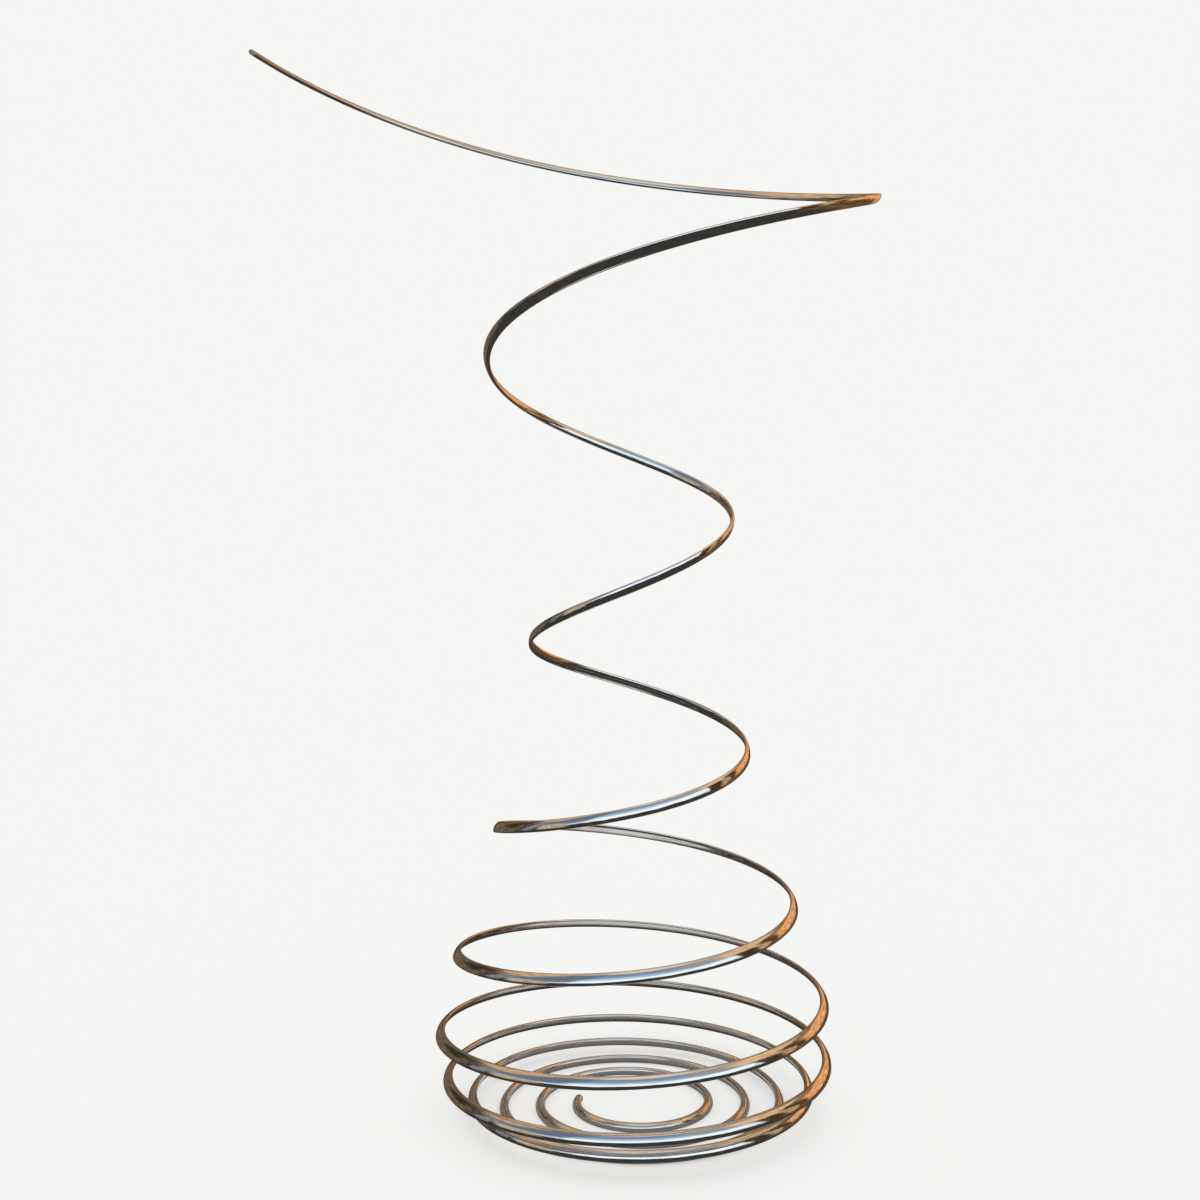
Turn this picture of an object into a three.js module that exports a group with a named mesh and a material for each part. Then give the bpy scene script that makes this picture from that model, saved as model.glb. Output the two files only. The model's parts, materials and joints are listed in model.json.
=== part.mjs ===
// Spring coil toy: one length of chrome-plated oval spring wire, wound into ten open turns.
// Millimetres, +Z up, standing on the desk at z = 0, with the origin under the middle of its box.
//
// The wire starts at a cut end inside a flat spiral on the desk, lifts off it, rises through a
// wide belly to a narrow waist, and opens into a wide ring at the top, where it is cut off square.
// It flexes all along, so it is made as short lengths that meet end to end at the hinge places.
import * as THREE from 'three';

// Where the coil's axis stands in the part's frame.
const COIL_AXIS_X = 16.68;
const COIL_AXIS_Y = -12.57;

// The wire at a few places along its turns. A whole turn number is at the coil's right (+X),
// and the turns run anticlockwise seen from above.
// turn: how far along, radius: of the wire's centre, rise: of its underside above the desk,
// width and thickness: of the oval section, lean: of its wide side outwards from upright, degrees.
const STATIONS = [
  { turn: 0.48, radius: 11.6, rise: 0, width: 2.0, thickness: 1.7, lean: -45 },
  { turn: 1.5, radius: 19.4, rise: 0, width: 2.1, thickness: 1.7, lean: -45 },
  { turn: 2.5, radius: 26.9, rise: 0, width: 2.2, thickness: 1.6, lean: -42 },
  { turn: 3.5, radius: 33.4, rise: 2.3, width: 2.4, thickness: 1.4, lean: -40 },
  { turn: 4.5, radius: 38.5, rise: 6.4, width: 2.55, thickness: 1.3, lean: -40 },
  { turn: 5.5, radius: 40.1, rise: 15.6, width: 2.6, thickness: 1.2, lean: -39 },
  { turn: 6.5, radius: 36.7, rise: 31.7, width: 2.5, thickness: 1.0, lean: -37 },
  { turn: 7, radius: 32.8, rise: 43.1, width: 2.45, thickness: 0.95, lean: -34 },
  { turn: 7.5, radius: 28.5, rise: 57.7, width: 2.35, thickness: 0.9, lean: -28 },
  { turn: 8, radius: 23.2, rise: 74.8, width: 2.2, thickness: 0.87, lean: -18 },
  { turn: 8.5, radius: 21.3, rise: 96.1, width: 1.95, thickness: 0.85, lean: -6 },
  { turn: 9, radius: 20.0, rise: 121.6, width: 1.9, thickness: 0.85, lean: 6 },
  { turn: 9.5, radius: 29.0, rise: 150.3, width: 2.1, thickness: 0.95, lean: 24 },
  { turn: 9.75, radius: 38.4, rise: 168.5, width: 2.15, thickness: 1.0, lean: 30 },
  { turn: 10, radius: 48.9, rise: 186.0, width: 2.2, thickness: 1.05, lean: 36 },
  { turn: 10.25, radius: 64.2, rise: 203.4, width: 2.3, thickness: 1.1, lean: 44 },
  { turn: 10.36, radius: 72.7, rise: 212.2, width: 2.35, thickness: 1.13, lean: 49 },
  { turn: 10.46, radius: 85.5, rise: 222.3, width: 2.4, thickness: 1.15, lean: 55 },
];
const LIFT_OFF_TURN = 2.5;

// The lengths are cut every quarter turn, and once more inside each of these quarters.
const FIRST_WHOLE_CUT = 0.75;
const CUTS_PER_TURN = 4;
const SWAY_CUTS = [6.125, 6.625, 7.125, 7.625, 8.125, 8.625];
const QUARTER_NAMES = ['back_right', 'back_left', 'front_left', 'front_right'];

// The desk has worn the spiral's underside to a narrow flat this deep.
const WORN_FLAT_DEPTH = 0.13;
const END_GAP = 0.3;
const SECTION_SIDES = 12;
const STEPS_PER_TURN = 32;

const CHROME = { color: 0xc9cdd2, roughness: 0.08, metalness: 1 };

// A smooth curve through the values (cubic spline), level at its start when flatStart is true.
function splineThrough(places, values, flatStart = false) {
  const last = places.length - 1;
  const upper = new Array(last + 1).fill(0);
  const bend = new Array(last + 1).fill(0);
  if (flatStart) {
    upper[0] = 0.5;
    bend[0] = 3 * (values[1] - values[0]) / (places[1] - places[0]) ** 2;
  }
  for (let i = 1; i < last; i += 1) {
    const before = places[i] - places[i - 1];
    const after = places[i + 1] - places[i];
    const slopeChange = (values[i + 1] - values[i]) / after - (values[i] - values[i - 1]) / before;
    const pivot = 2 * (before + after) - before * upper[i - 1];
    upper[i] = after / pivot;
    bend[i] = (6 * slopeChange - before * bend[i - 1]) / pivot;
  }
  bend[last] = 0;
  for (let i = last - 1; i >= 0; i -= 1) bend[i] -= upper[i] * bend[i + 1];
  return (place) => {
    let i = 0;
    while (i < last - 1 && place > places[i + 1]) i += 1;
    const span = places[i + 1] - places[i];
    const b = (place - places[i]) / span;
    const a = 1 - b;
    const curved = ((a ** 3 - a) * bend[i] + (b ** 3 - b) * bend[i + 1]) * span ** 2 / 6;
    return a * values[i] + b * values[i + 1] + curved;
  };
}

function stationSpline(key) {
  return splineThrough(STATIONS.map((s) => s.turn), STATIONS.map((s) => s[key]));
}

const radiusAt = stationSpline('radius');
const widthAt = stationSpline('width');
const thicknessAt = stationSpline('thickness');
const leanAt = stationSpline('lean');
const rising = STATIONS.filter((s) => s.turn >= LIFT_OFF_TURN);
const riseAfterLiftOff = splineThrough(rising.map((s) => s.turn), rising.map((s) => s.rise), true);

// Half of the leaning oval's height: its centre runs this far above its underside.
function halfHeightAt(turn) {
  const lean = THREE.MathUtils.degToRad(leanAt(turn));
  return Math.hypot(widthAt(turn) / 2 * Math.cos(lean), thicknessAt(turn) / 2 * Math.sin(lean));
}

function wirePoint(turn) {
  const angle = 2 * Math.PI * turn;
  const rise = turn > LIFT_OFF_TURN ? riseAfterLiftOff(turn) : 0;
  return new THREE.Vector3(
    COIL_AXIS_X + radiusAt(turn) * Math.cos(angle),
    COIL_AXIS_Y + radiusAt(turn) * Math.sin(angle),
    rise + halfHeightAt(turn) - WORN_FLAT_DEPTH,
  );
}

function wireTangent(turn) {
  const step = 1e-4;
  return wirePoint(turn + step).sub(wirePoint(turn - step)).normalize();
}

// The centre line of one length of wire. Its frames carry half the section's width and
// thickness, so that a unit circle swept along it becomes the oval.
class WireLength extends THREE.Curve {
  constructor(startTurn, endTurn) {
    super();
    this.startTurn = startTurn;
    this.endTurn = endTurn;
  }

  turnAt(u) {
    return THREE.MathUtils.lerp(this.startTurn, this.endTurn, u);
  }

  getPoint(u, target = new THREE.Vector3()) {
    return target.copy(wirePoint(this.turnAt(u)));
  }

  computeFrenetFrames(segments) {
    const frames = { tangents: [], normals: [], binormals: [] };
    for (let i = 0; i <= segments; i += 1) {
      const turn = this.turnAt(this.getUtoTmapping(i / segments));
      const tangent = wireTangent(turn);
      const angle = 2 * Math.PI * turn;
      const outward = new THREE.Vector3(Math.cos(angle), Math.sin(angle), 0);
      outward.addScaledVector(tangent, -outward.dot(tangent)).normalize();
      const upright = outward.clone().cross(tangent);
      const wide = upright.applyAxisAngle(tangent, THREE.MathUtils.degToRad(leanAt(turn)));
      const thin = tangent.clone().cross(wide);
      frames.tangents.push(tangent);
      frames.normals.push(wide.multiplyScalar(widthAt(turn) / 2));
      frames.binormals.push(thin.multiplyScalar(thicknessAt(turn) / 2));
    }
    return frames;
  }
}

// A polygon on the unit circle, turned so that one of its sides faces the desk in the spiral.
function sectionShape() {
  const corners = [];
  for (let i = 0; i < SECTION_SIDES; i += 1) {
    const angle = 2 * Math.PI * (i + 0.5) / SECTION_SIDES;
    corners.push(new THREE.Vector2(Math.cos(angle), Math.sin(angle)));
  }
  return new THREE.Shape(corners);
}

function wireGeometry(startTurn, endTurn) {
  const geometry = new THREE.ExtrudeGeometry(sectionShape(), {
    steps: Math.max(2, Math.round((endTurn - startTurn) * STEPS_PER_TURN)),
    extrudePath: new WireLength(startTurn, endTurn),
    bevelEnabled: false,
  });
  const place = geometry.attributes.position;
  for (let i = 0; i < place.count; i += 1) place.setZ(i, Math.max(0, place.getZ(i)));
  return geometry;
}

function cutTurns() {
  const first = STATIONS[0].turn;
  const last = STATIONS[STATIONS.length - 1].turn;
  const cuts = [first, ...SWAY_CUTS, last];
  for (let turn = FIRST_WHOLE_CUT; turn < last; turn += 1 / CUTS_PER_TURN) cuts.push(turn);
  return cuts.sort((a, b) => a - b);
}

// Turns are counted from the coil's left side, from 1 at the inner end to 10 at the top.
function lengthName(startTurn, endTurn) {
  const middle = (startTurn + endTurn) / 2;
  const count = Math.floor(middle - 0.5) + 1;
  const quarter = Math.floor((middle - Math.floor(middle)) * CUTS_PER_TURN);
  let name = `turn_${String(count).padStart(2, '0')}_${QUARTER_NAMES[quarter]}`;
  if (SWAY_CUTS.includes(endTurn)) name += '_lower';
  if (SWAY_CUTS.includes(startTurn)) name += '_upper';
  return name;
}

// Half the gap between two lengths, as a part of a turn.
function halfGapTurns(turn) {
  return END_GAP / 2 / (2 * Math.PI * radiusAt(turn));
}

function makeSpring() {
  const spring = new THREE.Group();
  const cuts = cutTurns();
  for (let i = 0; i + 1 < cuts.length; i += 1) {
    const first = i === 0;
    const last = i + 2 === cuts.length;
    const start = cuts[i] + (first ? 0 : halfGapTurns(cuts[i]));
    const end = cuts[i + 1] - (last ? 0 : halfGapTurns(cuts[i + 1]));
    const mesh = new THREE.Mesh(wireGeometry(start, end), new THREE.MeshStandardMaterial(CHROME));
    mesh.name = lengthName(cuts[i], cuts[i + 1]);
    spring.add(mesh);
  }
  return spring;
}

export default makeSpring();
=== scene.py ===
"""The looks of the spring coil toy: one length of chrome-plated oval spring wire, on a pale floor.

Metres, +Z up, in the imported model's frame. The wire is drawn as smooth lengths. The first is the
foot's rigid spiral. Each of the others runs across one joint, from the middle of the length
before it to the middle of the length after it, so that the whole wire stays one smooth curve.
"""
import json
import math

import bpy
import numpy as np
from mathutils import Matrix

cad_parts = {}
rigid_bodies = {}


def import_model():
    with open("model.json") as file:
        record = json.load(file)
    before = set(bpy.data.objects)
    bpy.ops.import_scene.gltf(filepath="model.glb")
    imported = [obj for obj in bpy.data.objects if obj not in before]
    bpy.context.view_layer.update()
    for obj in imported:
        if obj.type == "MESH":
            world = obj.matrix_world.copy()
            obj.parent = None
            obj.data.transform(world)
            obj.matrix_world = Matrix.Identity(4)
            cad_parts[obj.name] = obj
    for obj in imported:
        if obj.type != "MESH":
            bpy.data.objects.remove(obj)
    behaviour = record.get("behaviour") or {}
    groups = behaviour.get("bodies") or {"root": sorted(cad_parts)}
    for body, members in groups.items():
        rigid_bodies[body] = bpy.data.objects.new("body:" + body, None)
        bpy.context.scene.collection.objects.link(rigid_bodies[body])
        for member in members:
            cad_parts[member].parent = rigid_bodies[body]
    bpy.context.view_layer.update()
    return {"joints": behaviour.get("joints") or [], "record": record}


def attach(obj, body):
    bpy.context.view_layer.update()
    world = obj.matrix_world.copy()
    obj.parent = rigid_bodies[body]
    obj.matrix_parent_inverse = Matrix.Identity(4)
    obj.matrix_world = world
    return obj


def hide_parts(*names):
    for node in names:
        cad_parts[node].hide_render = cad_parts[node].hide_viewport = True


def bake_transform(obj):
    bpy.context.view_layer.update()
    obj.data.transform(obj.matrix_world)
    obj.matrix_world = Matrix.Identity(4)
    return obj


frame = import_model()

MM = 0.001

# Where the coil's axis stands in the frame.
COIL_AXIS_X = 16.68 * MM
COIL_AXIS_Y = -12.57 * MM

# The wire at a few places along its turns, as in the CAD source. A whole turn number is at the
# coil's right (+X), and the turns run anticlockwise seen from above.
# Each row: turn, radius of the wire's centre, rise of its underside above the desk,
# width and thickness of the oval (mm), lean of its wide side outwards from upright (degrees).
STATIONS = (
    (0.48, 11.6, 0, 2.0, 1.7, -45),
    (1.5, 19.4, 0, 2.1, 1.7, -45),
    (2.5, 26.9, 0, 2.2, 1.6, -42),
    (3.5, 33.4, 2.3, 2.4, 1.4, -40),
    (4.5, 38.5, 6.4, 2.55, 1.3, -40),
    (5.5, 40.1, 15.6, 2.6, 1.2, -39),
    (6.5, 36.7, 31.7, 2.5, 1.0, -37),
    (7, 32.8, 43.1, 2.45, 0.95, -34),
    (7.5, 28.5, 57.7, 2.35, 0.9, -28),
    (8, 23.2, 74.8, 2.2, 0.87, -18),
    (8.5, 21.3, 96.1, 1.95, 0.85, -6),
    (9, 20.0, 121.6, 1.9, 0.85, 6),
    (9.5, 29.0, 150.3, 2.1, 0.95, 24),
    (9.75, 38.4, 168.5, 2.15, 1.0, 30),
    (10, 48.9, 186.0, 2.2, 1.05, 36),
    (10.25, 64.2, 203.4, 2.3, 1.1, 44),
    (10.36, 72.7, 212.2, 2.35, 1.13, 49),
    (10.46, 85.5, 222.3, 2.4, 1.15, 55),
)
INNER_END = STATIONS[0][0]
TIP = STATIONS[-1][0]
LIFT_OFF_TURN = 2.5
WORN_FLAT_DEPTH = 0.13 * MM

# The turns at which two bodies meet, in order from the foot up.
FIRST_HINGE_TURN = 3.75
LAST_HINGE_TURN = 10.25
HINGES_PER_TURN = 4
SWAY_TURNS = (6.125, 6.625, 7.125, 7.625, 8.125, 8.625)

STEPS_PER_TURN = 144
SECTION_SIDES = 32

# The edge that the cutters leave round the two cut ends.
CUT_EDGE_RADIUS = 0.07 * MM
CUT_EDGE_RINGS = 3

CHROME_COLOUR = (0.79, 0.8, 0.82)
CUT_STEEL_COLOUR = (0.3, 0.305, 0.315)

# The plain floor and backdrop, as linear colour, how much of the light the floor gives back,
# and how much of its brightness is its own glow, which keeps the shadows on it faint.
PAPER_COLOUR = (0.922, 0.922, 0.905)
FLOOR_ALBEDO = 0.85
FLOOR_RADIUS = 3.0
FLOOR_GLOW = 0.5
# In the wire's reflections only, the floor is a warm mottled colour. It turns to the dark colour as
# painted shade where the reflected ray is shorter than 15 mm, fully under 3 mm, and it fades out 30
# to 39 mm from the coil's axis.
MIRRORED_FLOOR_PALE = (0.9, 0.77, 0.7, 1)
MIRRORED_FLOOR_MOTTLE_AND_PAINTED_SHADE = (0.34, 0.28, 0.25, 1)
MIRRORED_FLOOR_REACH = (30 * MM, 39 * MM)
MIRRORED_FLOOR_SHADE = (3 * MM, 15 * MM)

# What the polished wire mirrors: a yard at the edge of some woods, under a bright hazy sky.
# The heights are elevations in degrees, from straight down to straight up, and the colours are
# as they look in the chrome, 0 to 255.
YARD_BY_HEIGHT = (
    (-90, (62, 57, 53)),
    (-20, (60, 56, 52)),
    (-5, (66, 59, 52)),
    (8, (84, 70, 56)),
    (25, (135, 113, 90)),
    (45, (168, 142, 115)),
    (65, (176, 156, 136)),
    (74, (190, 176, 162)),
    (82, (224, 209, 192)),
    (90, (200, 184, 168)),
)

# Patches of the yard, each laid over the ones before it. Azimuths run from straight behind the
# toy (0) to its right (90), the viewer (180) and its left (270).
# Each row: azimuth, elevation, half width, half height (degrees), softness of its edge, colour.
SKY_PATCHES = (
    (188, 42, 84, 28, 0.2, (112, 121, 136)),
    (182, 37, 76, 21, 0.4, (126, 152, 180)),
    (168, 31, 70, 14, 0.5, (166, 194, 220)),
    (162, 23, 62, 12, 0.4, (240, 249, 252)),
    (118, 56, 20, 10, 0.7, (146, 146, 142)),
    (250, 48, 20, 16, 0.7, (100, 112, 128)),
)
YARD_PATCHES = (
    # The woods and the dark ground on the viewer's side.
    (195, -27, 100, 44, 0.05, (58, 56, 53)),
    # The lit house on the right, its door, its post and its eaves.
    (46, 10, 44, 24, 0.4, (138, 104, 70)),
    (43, 15, 17, 11, 0.7, (236, 168, 110)),
    (50, -7, 36, 7, 0.5, (98, 72, 50)),
    (75, 24, 5, 18, 0.4, (88, 66, 44)),
    (84, 26, 5, 24, 0.4, (192, 160, 116)),
    (97, 14, 8, 26, 0.3, (70, 54, 40)),
    (74, 50, 26, 8, 0.6, (232, 188, 142)),
    # The shed on the left, with the trees beside it.
    (251, 13, 15, 12, 0.3, (190, 170, 140)),
    (279, 13, 6, 15, 0.4, (128, 133, 143)),
    (292, 10, 6, 17, 0.3, (60, 53, 46)),
    (318, 10, 24, 26, 0.3, (110, 92, 74)),
    (311, 20, 10, 10, 0.5, (60, 58, 45)),
    (310, 50, 30, 9, 0.6, (206, 168, 128)),
)


# ---- the wire's shape ----------------------------------------------------------------------


def spline_through(places, values, flat_start=False):
    """A natural cubic spline as a function of numpy arrays, level at its start if flat_start."""
    places = np.array(places, float)
    values = np.array(values, float)
    count = len(places)
    spans = np.diff(places)
    slopes = np.diff(values) / spans
    system = np.eye(count)
    right = np.zeros(count)
    for i in range(1, count - 1):
        system[i, i - 1 : i + 2] = spans[i - 1], 2 * (spans[i - 1] + spans[i]), spans[i]
        right[i] = 6 * (slopes[i] - slopes[i - 1])
    if flat_start:
        system[0, :2] = 2 * spans[0], spans[0]
        right[0] = 6 * slopes[0]
    bends = np.linalg.solve(system, right)

    def at(place):
        i = np.clip(np.searchsorted(places, place, side="right") - 1, 0, count - 2)
        b = (place - places[i]) / spans[i]
        a = 1 - b
        curved = ((a**3 - a) * bends[i] + (b**3 - b) * bends[i + 1]) * spans[i] ** 2 / 6
        return a * values[i] + b * values[i + 1] + curved

    return at


TURNS, RADII, RISES, WIDTHS, THICKNESSES, LEANS = zip(*STATIONS)
radius_at = spline_through(TURNS, RADII)
width_at = spline_through(TURNS, WIDTHS)
thickness_at = spline_through(TURNS, THICKNESSES)
lean_at = spline_through(TURNS, LEANS)
lift_off = TURNS.index(LIFT_OFF_TURN)
rise_after_lift_off = spline_through(TURNS[lift_off:], RISES[lift_off:], flat_start=True)


def wire_centres(turns):
    """The wire's centre line at these turns, one row each."""
    angles = 2 * np.pi * turns
    leans = np.radians(lean_at(turns))
    half_heights = np.hypot(
        width_at(turns) / 2 * np.cos(leans), thickness_at(turns) / 2 * np.sin(leans)
    )
    rises = np.where(turns > LIFT_OFF_TURN, rise_after_lift_off(turns), 0)
    return np.stack(
        [
            COIL_AXIS_X + radius_at(turns) * MM * np.cos(angles),
            COIL_AXIS_Y + radius_at(turns) * MM * np.sin(angles),
            (rises + half_heights) * MM - WORN_FLAT_DEPTH,
        ],
        axis=1,
    )


def unit(vectors):
    return vectors / np.linalg.norm(vectors, axis=-1, keepdims=True)


def wire_frames(turns):
    """The wire's direction at these turns, and the directions of the oval's width and thickness."""
    step = 1e-4
    along = unit(wire_centres(turns + step) - wire_centres(turns - step))
    angles = 2 * np.pi * turns
    outward = np.stack([np.cos(angles), np.sin(angles), np.zeros_like(angles)], axis=1)
    outward = unit(outward - along * np.sum(outward * along, axis=1, keepdims=True))
    upright = np.cross(outward, along)
    leans = np.radians(lean_at(turns))[:, None]
    wide = upright * np.cos(leans) + np.cross(along, upright) * np.sin(leans)
    return along, wide, np.cross(along, wide)


def length_along_wire():
    """The distance along the wire from its inner end, as a function of the turn."""
    turns = np.linspace(INNER_END, TIP, 4000)
    steps = np.linalg.norm(np.diff(wire_centres(turns), axis=0), axis=1)
    distances = np.concatenate([[0], np.cumsum(steps)])
    return lambda turn: np.interp(turn, turns, distances)


distance_at = length_along_wire()


def ring_rows(turns, edge_angles):
    """Points and outward normals of the oval's ring at each turn: arrays of rings x sides x 3.

    A ring's edge angle is 0 on the wire's side and goes to 90 degrees over the rounded edge of a
    cut end, negative at the inner end.
    """
    centres = wire_centres(turns)[:, None]
    along, wide, thin = (v[:, None] for v in wire_frames(turns))
    angles = 2 * np.pi * np.arange(SECTION_SIDES) / SECTION_SIDES
    cos, sin = np.cos(angles)[None, :, None], np.sin(angles)[None, :, None]
    edge_angles = edge_angles[:, None, None]
    inset = CUT_EDGE_RADIUS * (1 - np.cos(edge_angles))
    half_width = width_at(turns)[:, None, None] * MM / 2
    half_thickness = thickness_at(turns)[:, None, None] * MM / 2
    points = centres + wide * cos * (half_width - inset) + thin * sin * (half_thickness - inset)
    points[:, :, 2] = np.maximum(points[:, :, 2], 0)
    normals = unit(wide * cos / half_width + thin * sin / half_thickness)
    return points, normals * np.cos(edge_angles) + along * np.sin(edge_angles)


def ring_places(start, end):
    """The turn and the edge angle of each ring of a length of wire."""
    turns = np.linspace(start, end, max(8, round((end - start) * STEPS_PER_TURN)) + 1)
    edge_angles = np.zeros_like(turns)
    edge = np.linspace(0, np.pi / 2, CUT_EDGE_RINGS + 1)
    if start == INNER_END:
        back = CUT_EDGE_RADIUS * (1 - np.sin(edge[::-1])) / (2 * np.pi * radius_at(start) * MM)
        turns = np.concatenate([start + back, turns[1:]])
        edge_angles = np.concatenate([-edge[::-1], edge_angles[1:]])
    if end == TIP:
        back = CUT_EDGE_RADIUS * (1 - np.sin(edge)) / (2 * np.pi * radius_at(end) * MM)
        turns = np.concatenate([turns[:-1], end - back])
        edge_angles = np.concatenate([edge_angles[:-1], edge])
    return turns, edge_angles


def wire_mesh(name, start, end):
    """A closed smooth length of wire from one turn to another."""
    turns, edge_angles = ring_places(start, end)
    count = len(turns)
    points, normals = ring_rows(turns, edge_angles)
    along = wire_frames(turns)[0]
    sides = np.arange(SECTION_SIDES)
    after = (sides + 1) % SECTION_SIDES
    faces = []
    for ring in range(count - 1):
        low, high = ring * SECTION_SIDES, (ring + 1) * SECTION_SIDES
        faces += np.stack([low + sides, low + after, high + after, high + sides], 1).tolist()
    corner_normals = normals.reshape(-1, 3)[np.array(faces).ravel()]
    last = (count - 1) * SECTION_SIDES
    faces += [sides[::-1].tolist(), (last + sides).tolist()]
    ends = np.repeat([-along[0], along[-1]], SECTION_SIDES, axis=0)
    mesh = bpy.data.meshes.new(name)
    mesh.from_pydata(points.reshape(-1, 3), [], faces)
    mesh.polygons[-2].material_index = int(start == INNER_END)
    mesh.polygons[-1].material_index = int(end == TIP)
    mesh.shade_smooth()
    mesh.normals_split_custom_set(np.concatenate([corner_normals, ends]))
    keep_wire_places(mesh, turns)
    return mesh


def keep_wire_places(mesh, turns):
    """Stores where each vertex is on the wire: distance along it, then a unit circle round it."""
    angles = 2 * np.pi * np.arange(SECTION_SIDES) / SECTION_SIDES
    places = np.zeros((len(turns), SECTION_SIDES, 3), np.float32)
    places[:, :, 0] = distance_at(turns)[:, None]
    places[:, :, 1] = np.cos(angles)
    places[:, :, 2] = np.sin(angles)
    attribute = mesh.attributes.new("wire_place", "FLOAT_VECTOR", "POINT")
    attribute.data.foreach_set("vector", places.ravel())


# ---- the materials -------------------------------------------------------------------------


class Nodes:
    """Adds nodes to a material's or a world's tree, and links them as it goes."""

    def __init__(self, tree):
        self.tree = tree

    def add(self, kind, *inputs, output=0, **settings):
        """A new node's output. Each input is a value or another node's output, None leaves it."""
        node = self.tree.nodes.new("ShaderNode" + kind)
        for name, value in settings.items():
            setattr(node, name, value)
        for socket, value in zip(node.inputs, inputs):
            self.put(socket, value)
        return node.outputs[output]

    def put(self, socket, value):
        if isinstance(value, bpy.types.NodeSocket):
            self.tree.links.new(value, socket)
        elif value is not None:
            socket.default_value = value

    def noise(self, place, scale, detail=2.0, output="Fac"):
        node = self.tree.nodes.new("ShaderNodeTexNoise")
        self.put(node.inputs["Vector"], place)
        node.inputs["Scale"].default_value = scale
        node.inputs["Detail"].default_value = detail
        return node.outputs[output]

    def ramp(self, value, low, high, to_low=0.0, to_high=1.0):
        """The value carried from one range to another, with soft ends."""
        settings = {"interpolation_type": "SMOOTHSTEP"}
        return self.add("MapRange", value, low, high, to_low, to_high, **settings)

    def mix_colour(self, weight, first, second):
        node = self.tree.nodes.new("ShaderNodeMix")
        node.data_type = "RGBA"
        for name, value in (("Factor_Float", weight), ("A_Color", first), ("B_Color", second)):
            self.put(next(i for i in node.inputs if i.identifier == name), value)
        return next(o for o in node.outputs if o.identifier == "Result_Color")


def new_material(name):
    material = bpy.data.materials.new(name)
    material.use_nodes = True
    return Nodes(material.node_tree), material.node_tree.nodes["Principled BSDF"], material


def wire_place(nodes, along_scale, round_scale):
    """A texture place on the wire, stretched along it: features run on for 1 / along_scale m."""
    attribute = nodes.tree.nodes.new("ShaderNodeAttribute")
    attribute.attribute_name = "wire_place"
    scales = (along_scale, round_scale, round_scale)
    place = attribute.outputs["Vector"]
    return nodes.add("VectorMath", place, scales, operation="MULTIPLY")


def make_chrome():
    """Bright chrome over drawn wire, with slight ripples, hazy wear and fine scratches.

    The die lines of the drawing show most on the inner face, which the winding left unpolished.
    """
    nodes, shader, material = new_material("polished_chrome")
    shader.inputs["Base Color"].default_value = (*CHROME_COLOUR, 1)
    shader.inputs["Metallic"].default_value = 1
    place = wire_place(nodes, 1, 1)
    round_wire = nodes.tree.nodes.new("ShaderNodeSeparateXYZ")
    nodes.put(round_wire.inputs[0], place)
    inner_face = nodes.ramp(round_wire.outputs[2], -0.5, 0.4, 1.0, 0.25)
    die_lines = nodes.noise(wire_place(nodes, 22, 4.5), 1, 3)
    die_lines = nodes.add("Math", die_lines, inner_face, operation="MULTIPLY")
    ripples = nodes.noise(wire_place(nodes, 160, 0.7), 1, 1)
    scratches = nodes.noise(wire_place(nodes, 420, 9), 1, 1)
    scratches = nodes.ramp(scratches, 0.66, 0.72)
    wear = nodes.noise(wire_place(nodes, 90, 1.5), 1, 3)
    haze = nodes.ramp(wear, 0.45, 0.75, 0.03, 0.13)
    roughness = nodes.add("Math", scratches, 0.12, haze, operation="MULTIPLY_ADD")
    nodes.put(shader.inputs["Roughness"], roughness)
    normal = None
    for height, depth in ((ripples, 0.012), (die_lines, 0.02), (scratches, -0.001)):
        bump = nodes.tree.nodes.new("ShaderNodeBump")
        bump.inputs["Strength"].default_value = 1
        bump.inputs["Distance"].default_value = depth * MM
        nodes.put(bump.inputs["Height"], height)
        nodes.put(bump.inputs["Normal"], normal)
        normal = bump.outputs["Normal"]
    nodes.put(shader.inputs["Normal"], normal)
    return material


def make_cut_steel():
    """The bare spring steel that the cutters left, scored across by their blades."""
    nodes, shader, material = new_material("cut_steel")
    shader.inputs["Metallic"].default_value = 0.3
    place = nodes.add("TexCoord", output=3)
    score_scales = (400, 1500, 9000)
    stretched = nodes.add("VectorMath", place, score_scales, operation="MULTIPLY")
    scores = nodes.noise(stretched, 1, 2)
    darker = tuple(0.8 * c for c in CUT_STEEL_COLOUR)
    colour = nodes.mix_colour(scores, (*darker, 1), (*CUT_STEEL_COLOUR, 1))
    nodes.put(shader.inputs["Base Color"], colour)
    nodes.put(shader.inputs["Roughness"], nodes.ramp(scores, 0.2, 0.8, 0.42, 0.6))
    bump = nodes.tree.nodes.new("ShaderNodeBump")
    bump.inputs["Distance"].default_value = 0.02 * MM
    nodes.put(bump.inputs["Height"], scores)
    nodes.put(shader.inputs["Normal"], bump.outputs["Normal"])
    return material


# ---- the pieces ----------------------------------------------------------------------------


def hinge_turns():
    whole = np.arange(FIRST_HINGE_TURN, LAST_HINGE_TURN + 0.01, 1 / HINGES_PER_TURN)
    return sorted([*whole, *SWAY_TURNS])


def bodies_along_wire():
    """The bodies in order from the foot to the tip."""
    child_of = {joint["parent"]: joint["child"] for joint in frame["joints"]}
    chain = ["foot"]
    while chain[-1] in child_of:
        chain.append(child_of[chain[-1]])
    return chain


def add_piece(name, start, end, nodes, materials):
    piece = bpy.data.objects.new(name, wire_mesh(name, start, end))
    bpy.context.scene.collection.objects.link(piece)
    for material in materials:
        piece.data.materials.append(material)
    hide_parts(*nodes)
    return piece


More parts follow.
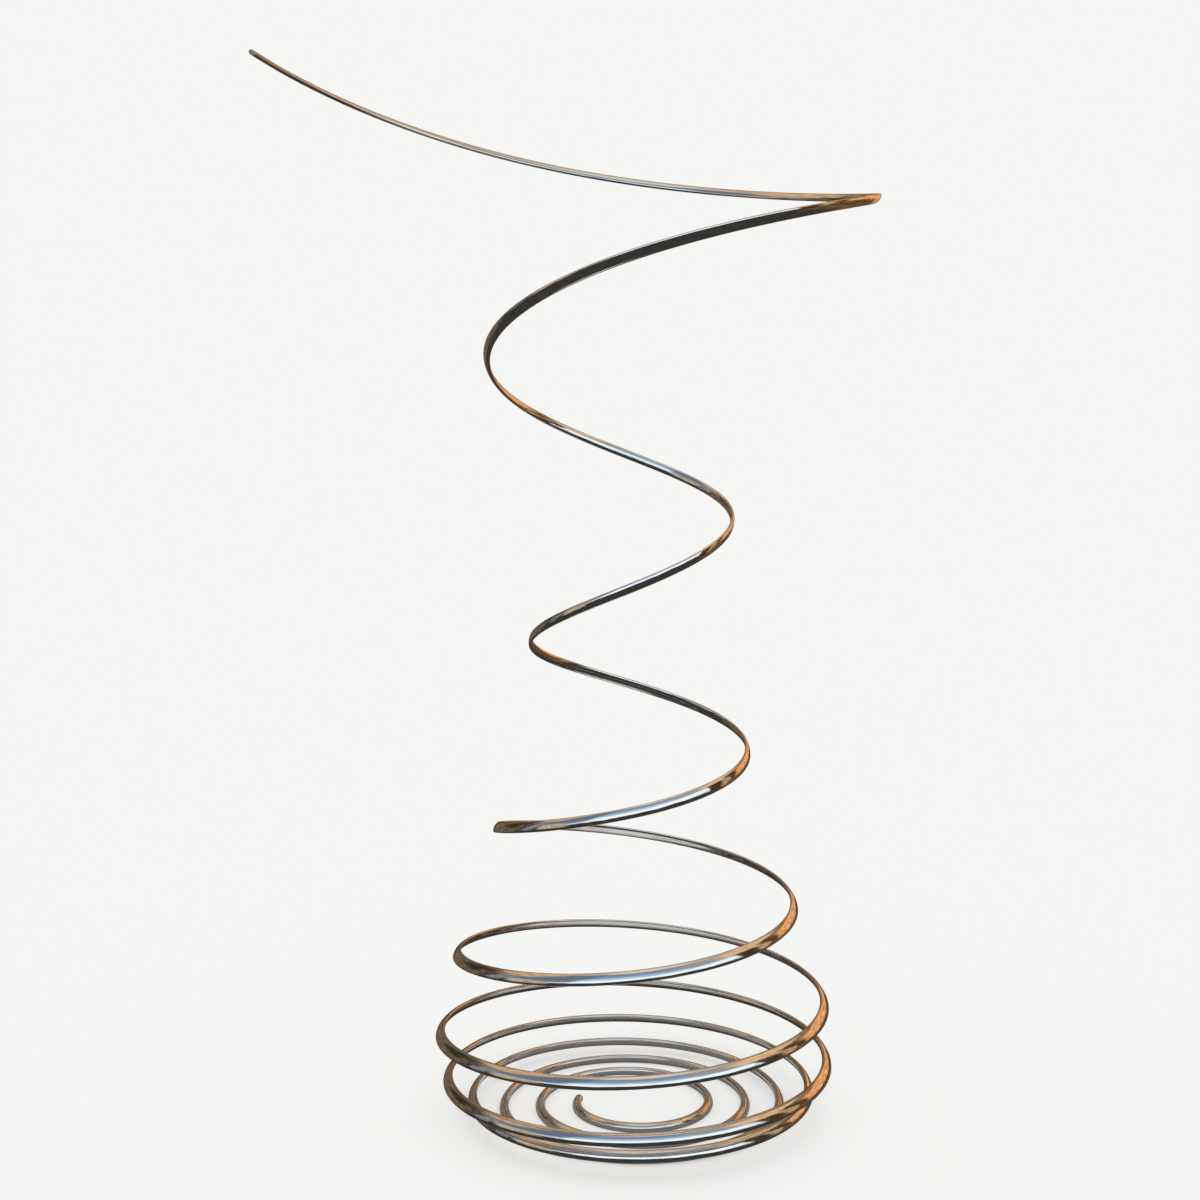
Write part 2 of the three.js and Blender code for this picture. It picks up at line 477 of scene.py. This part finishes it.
def make_wire():
    materials = make_chrome(), make_cut_steel()
    hinges = hinge_turns()
    bodies = bodies_along_wire()
    limits = [hinges[0] - 1 / HINGES_PER_TURN, *hinges, TIP]
    middles = [(a + b) / 2 for a, b in zip(limits, limits[1:])]
    foot_nodes = frame["record"]["behaviour"]["bodies"]["foot"]
    foot = add_piece("wire_foot", INNER_END, middles[0], foot_nodes, materials)
    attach(foot, "foot")
    for i, (below, above) in enumerate(zip(bodies, bodies[1:])):
        start = middles[i]
        bend_end = middles[i + 1]
        end = TIP if above == bodies[-1] else bend_end
        piece = add_piece("wire_" + above, start, end, [above], materials)
        first, last = wire_centres(np.array([start, bend_end]))
        inset = unit(last - first) * width_at(start) * MM / 2
        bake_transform(piece)


make_wire()


# ---- floor, light and camera ---------------------------------------------------------------


def colour_as_seen(colour):
    """The light that shows as this 0 to 255 colour when the chrome mirrors it."""
    shares = [c / 255 for c in colour]
    linear = [s / 12.92 if s <= 0.04045 else ((s + 0.055) / 1.055) ** 2.4 for s in shares]
    return (*(light / tint for light, tint in zip(linear, CHROME_COLOUR)), 1)


def yard_light(nodes):
    """The light of the yard from every direction."""
    direction = nodes.add("TexCoord", output=0)
    parts = nodes.tree.nodes.new("ShaderNodeSeparateXYZ")
    nodes.put(parts.inputs[0], direction)
    to_degrees = 180 / math.pi
    azimuth = nodes.add("Math", parts.outputs[0], parts.outputs[1], operation="ARCTAN2")
    azimuth = nodes.add("Math", azimuth, to_degrees, operation="MULTIPLY")
    elevation = nodes.add("Math", parts.outputs[2], operation="ARCSINE")
    elevation = nodes.add("Math", elevation, to_degrees, operation="MULTIPLY")
    flat = nodes.add("CombineXYZ", azimuth, elevation, 0.0)
    # The edges of things wander a little, as leaves, stones and clouds make them.
    wander = nodes.noise(direction, 7, 4, output="Color")
    wander = nodes.add("VectorMath", wander, (0.5, 0.5, 0.5), operation="SUBTRACT")
    wander = nodes.add("VectorMath", wander, (16, 12, 0), operation="MULTIPLY")
    place = nodes.add("VectorMath", flat, wander, operation="ADD")
    wandering = nodes.tree.nodes.new("ShaderNodeSeparateXYZ")
    nodes.put(wandering.inputs[0], place)

    by_height = nodes.tree.nodes.new("ShaderNodeValToRGB")
    stops = by_height.color_ramp.elements
    while len(stops) < len(YARD_BY_HEIGHT):
        stops.new(0.5)
    for stop, (height, colour) in zip(stops, YARD_BY_HEIGHT):
        stop.position = (height + 90) / 180
        stop.color = colour_as_seen(colour)
    along_ramp = nodes.add(
        "Math", wandering.outputs[1], 1 / 180, 0.5, operation="MULTIPLY_ADD"
    )
    nodes.put(by_height.inputs[0], along_ramp)
    light = by_height.outputs[0]
    for *patch, colour in SKY_PATCHES:
        weight = patch_weight(nodes, place, *patch)
        light = nodes.mix_colour(weight, light, colour_as_seen(colour))
    for *patch, colour in YARD_PATCHES:
        weight = patch_weight(nodes, place, *patch)
        light = nodes.mix_colour(weight, light, colour_as_seen(colour))
    # Leaves, boards and gravel break up everything but the sky.
    litter = nodes.ramp(nodes.noise(direction, 16, 6), 0.3, 0.7, 0.45, 1.25)
    littered = nodes.add("VectorMath", light, litter, operation="MULTIPLY")
    below_sky = nodes.ramp(wandering.outputs[1], 50, 66, 1.0, 0.0)
    sky = patch_weight(nodes, place, *SKY_PATCHES[0][:5])
    above_woods = nodes.ramp(wandering.outputs[1], 17, 19)
    open_sky = nodes.add("Math", sky, above_woods, operation="MULTIPLY")
    weight = nodes.add("Math", 1.0, open_sky, operation="SUBTRACT")
    weight = nodes.add("Math", weight, below_sky, operation="MULTIPLY")
    return nodes.mix_colour(weight, light, littered)


def patch_weight(nodes, place, azimuth, elevation, half_width, half_height, softness):
    """1 inside a round-cornered patch of the yard and 0 outside it."""
    offset = nodes.add("VectorMath", place, (azimuth, elevation, 0), operation="SUBTRACT")
    offset = nodes.add("VectorMath", offset, (180, 90, 1), (-180, -90, -1), operation="WRAP")
    shares = nodes.add("VectorMath", offset, (half_width, half_height, 1), operation="DIVIDE")
    squares = nodes.add("VectorMath", shares, shares, operation="MULTIPLY")
    reach = nodes.add("VectorMath", squares, squares, operation="DOT_PRODUCT", output="Value")
    return nodes.ramp(reach, (1 - softness) ** 4, (1 + softness) ** 4, 1.0, 0.0)


def add_light():
    """Soft even light on the floor, a plain backdrop, and the yard for the chrome to mirror."""
    world = bpy.data.worlds.new("studio")
    bpy.context.scene.world = world
    world.use_nodes = True
    world.cycles.sampling_method = "NONE"
    nodes = Nodes(world.node_tree)
    dome = (*((1 - FLOOR_GLOW) * c / FLOOR_ALBEDO for c in PAPER_COLOUR), 1)
    path = nodes.tree.nodes.new("ShaderNodeLightPath")
    light = nodes.mix_colour(path.outputs["Is Glossy Ray"], dome, yard_light(nodes))
    light = nodes.mix_colour(path.outputs["Is Camera Ray"], light, (*PAPER_COLOUR, 1))
    nodes.put(nodes.tree.nodes["Background"].inputs["Color"], light)


def mirror_only_near_floor(nodes, shader):
    """The wire mirrors a warm mottled patch of the floor under it, with painted shade where the
    wire lies close above it; the floor shows these only in the wire's reflections.

    Beyond that patch it mirrors the yard.
    """
    path = nodes.tree.nodes.new("ShaderNodeLightPath")
    mirrored = path.outputs["Is Glossy Ray"]
    plain = (FLOOR_ALBEDO, FLOOR_ALBEDO, FLOOR_ALBEDO, 1)
    place = nodes.tree.nodes.new("ShaderNodeNewGeometry").outputs["Position"]
    grain_and_painted_shade = nodes.ramp(nodes.noise(place, 900, 4), 0.35, 0.65)
    # Painted shade: in reflections the floor turns to its dark colour where the reflected ray is
    # shorter than 15 mm, fully under 3 mm.
    unshaded = nodes.ramp(path.outputs["Ray Length"], *MIRRORED_FLOOR_SHADE)
    grain_and_painted_shade = nodes.add("Math", grain_and_painted_shade, unshaded, operation="MULTIPLY")
    warm = nodes.mix_colour(grain_and_painted_shade, MIRRORED_FLOOR_MOTTLE_AND_PAINTED_SHADE, MIRRORED_FLOOR_PALE)
    # The floor's own brightness in reflections is dimmed the same way, as more painted shade.
    glow = nodes.ramp(unshaded, 0, 1, 0.12 * FLOOR_GLOW, FLOOR_GLOW)
    glow = nodes.add("Mix", mirrored, None, FLOOR_GLOW, glow)
    nodes.put(shader.inputs["Emission Strength"], glow)
    nodes.put(shader.inputs["Base Color"], nodes.mix_colour(mirrored, plain, warm))
    axis = (COIL_AXIS_X, COIL_AXIS_Y, 0)
    reach = nodes.add("VectorMath", place, axis, operation="DISTANCE", output="Value")
    beyond = nodes.ramp(reach, *MIRRORED_FLOOR_REACH)
    clear = nodes.tree.nodes.new("ShaderNodeBsdfTransparent").outputs[0]
    weight = nodes.add("Math", mirrored, beyond, operation="MULTIPLY")
    mixed = nodes.add("MixShader", weight, shader.outputs[0], clear)
    nodes.put(nodes.tree.nodes["Material Output"].inputs["Surface"], mixed)


def add_floor():
    mesh = bpy.data.meshes.new("floor")
    angles = np.linspace(0, 2 * np.pi, 96, endpoint=False)
    rim = np.stack([np.cos(angles), np.sin(angles), np.zeros_like(angles)], axis=1) * FLOOR_RADIUS
    mesh.from_pydata(rim, [], [list(range(len(rim)))])
    floor = bpy.data.objects.new("floor", mesh)
    bpy.context.scene.collection.objects.link(floor)
    material = new_material("pale_floor")[2]
    shader = material.node_tree.nodes["Principled BSDF"]
    shader.inputs["Base Color"].default_value = (FLOOR_ALBEDO, FLOOR_ALBEDO, FLOOR_ALBEDO, 1)
    shader.inputs["Roughness"].default_value = 1
    shader.inputs["Specular IOR Level"].default_value = 0
    shader.inputs["Emission Color"].default_value = (*PAPER_COLOUR, 1)
    shader.inputs["Emission Strength"].default_value = FLOOR_GLOW
    mirror_only_near_floor(Nodes(material.node_tree), shader)
    mesh.materials.append(material)


def add_camera():
    data = bpy.data.cameras.new("camera")
    data.sensor_width = 36
    data.lens = 45.54
    data.clip_start = 0.01
    camera = bpy.data.objects.new("camera", data)
    bpy.context.scene.collection.objects.link(camera)
    camera.location = (COIL_AXIS_X, COIL_AXIS_Y - 0.311, 0.1226)
    camera.rotation_euler = (math.radians(90 - 3.109), 0, math.radians(1.298))
    bpy.context.scene.camera = camera


add_floor()
add_light()
add_camera()
bpy.context.scene.view_settings.view_transform = "Standard"
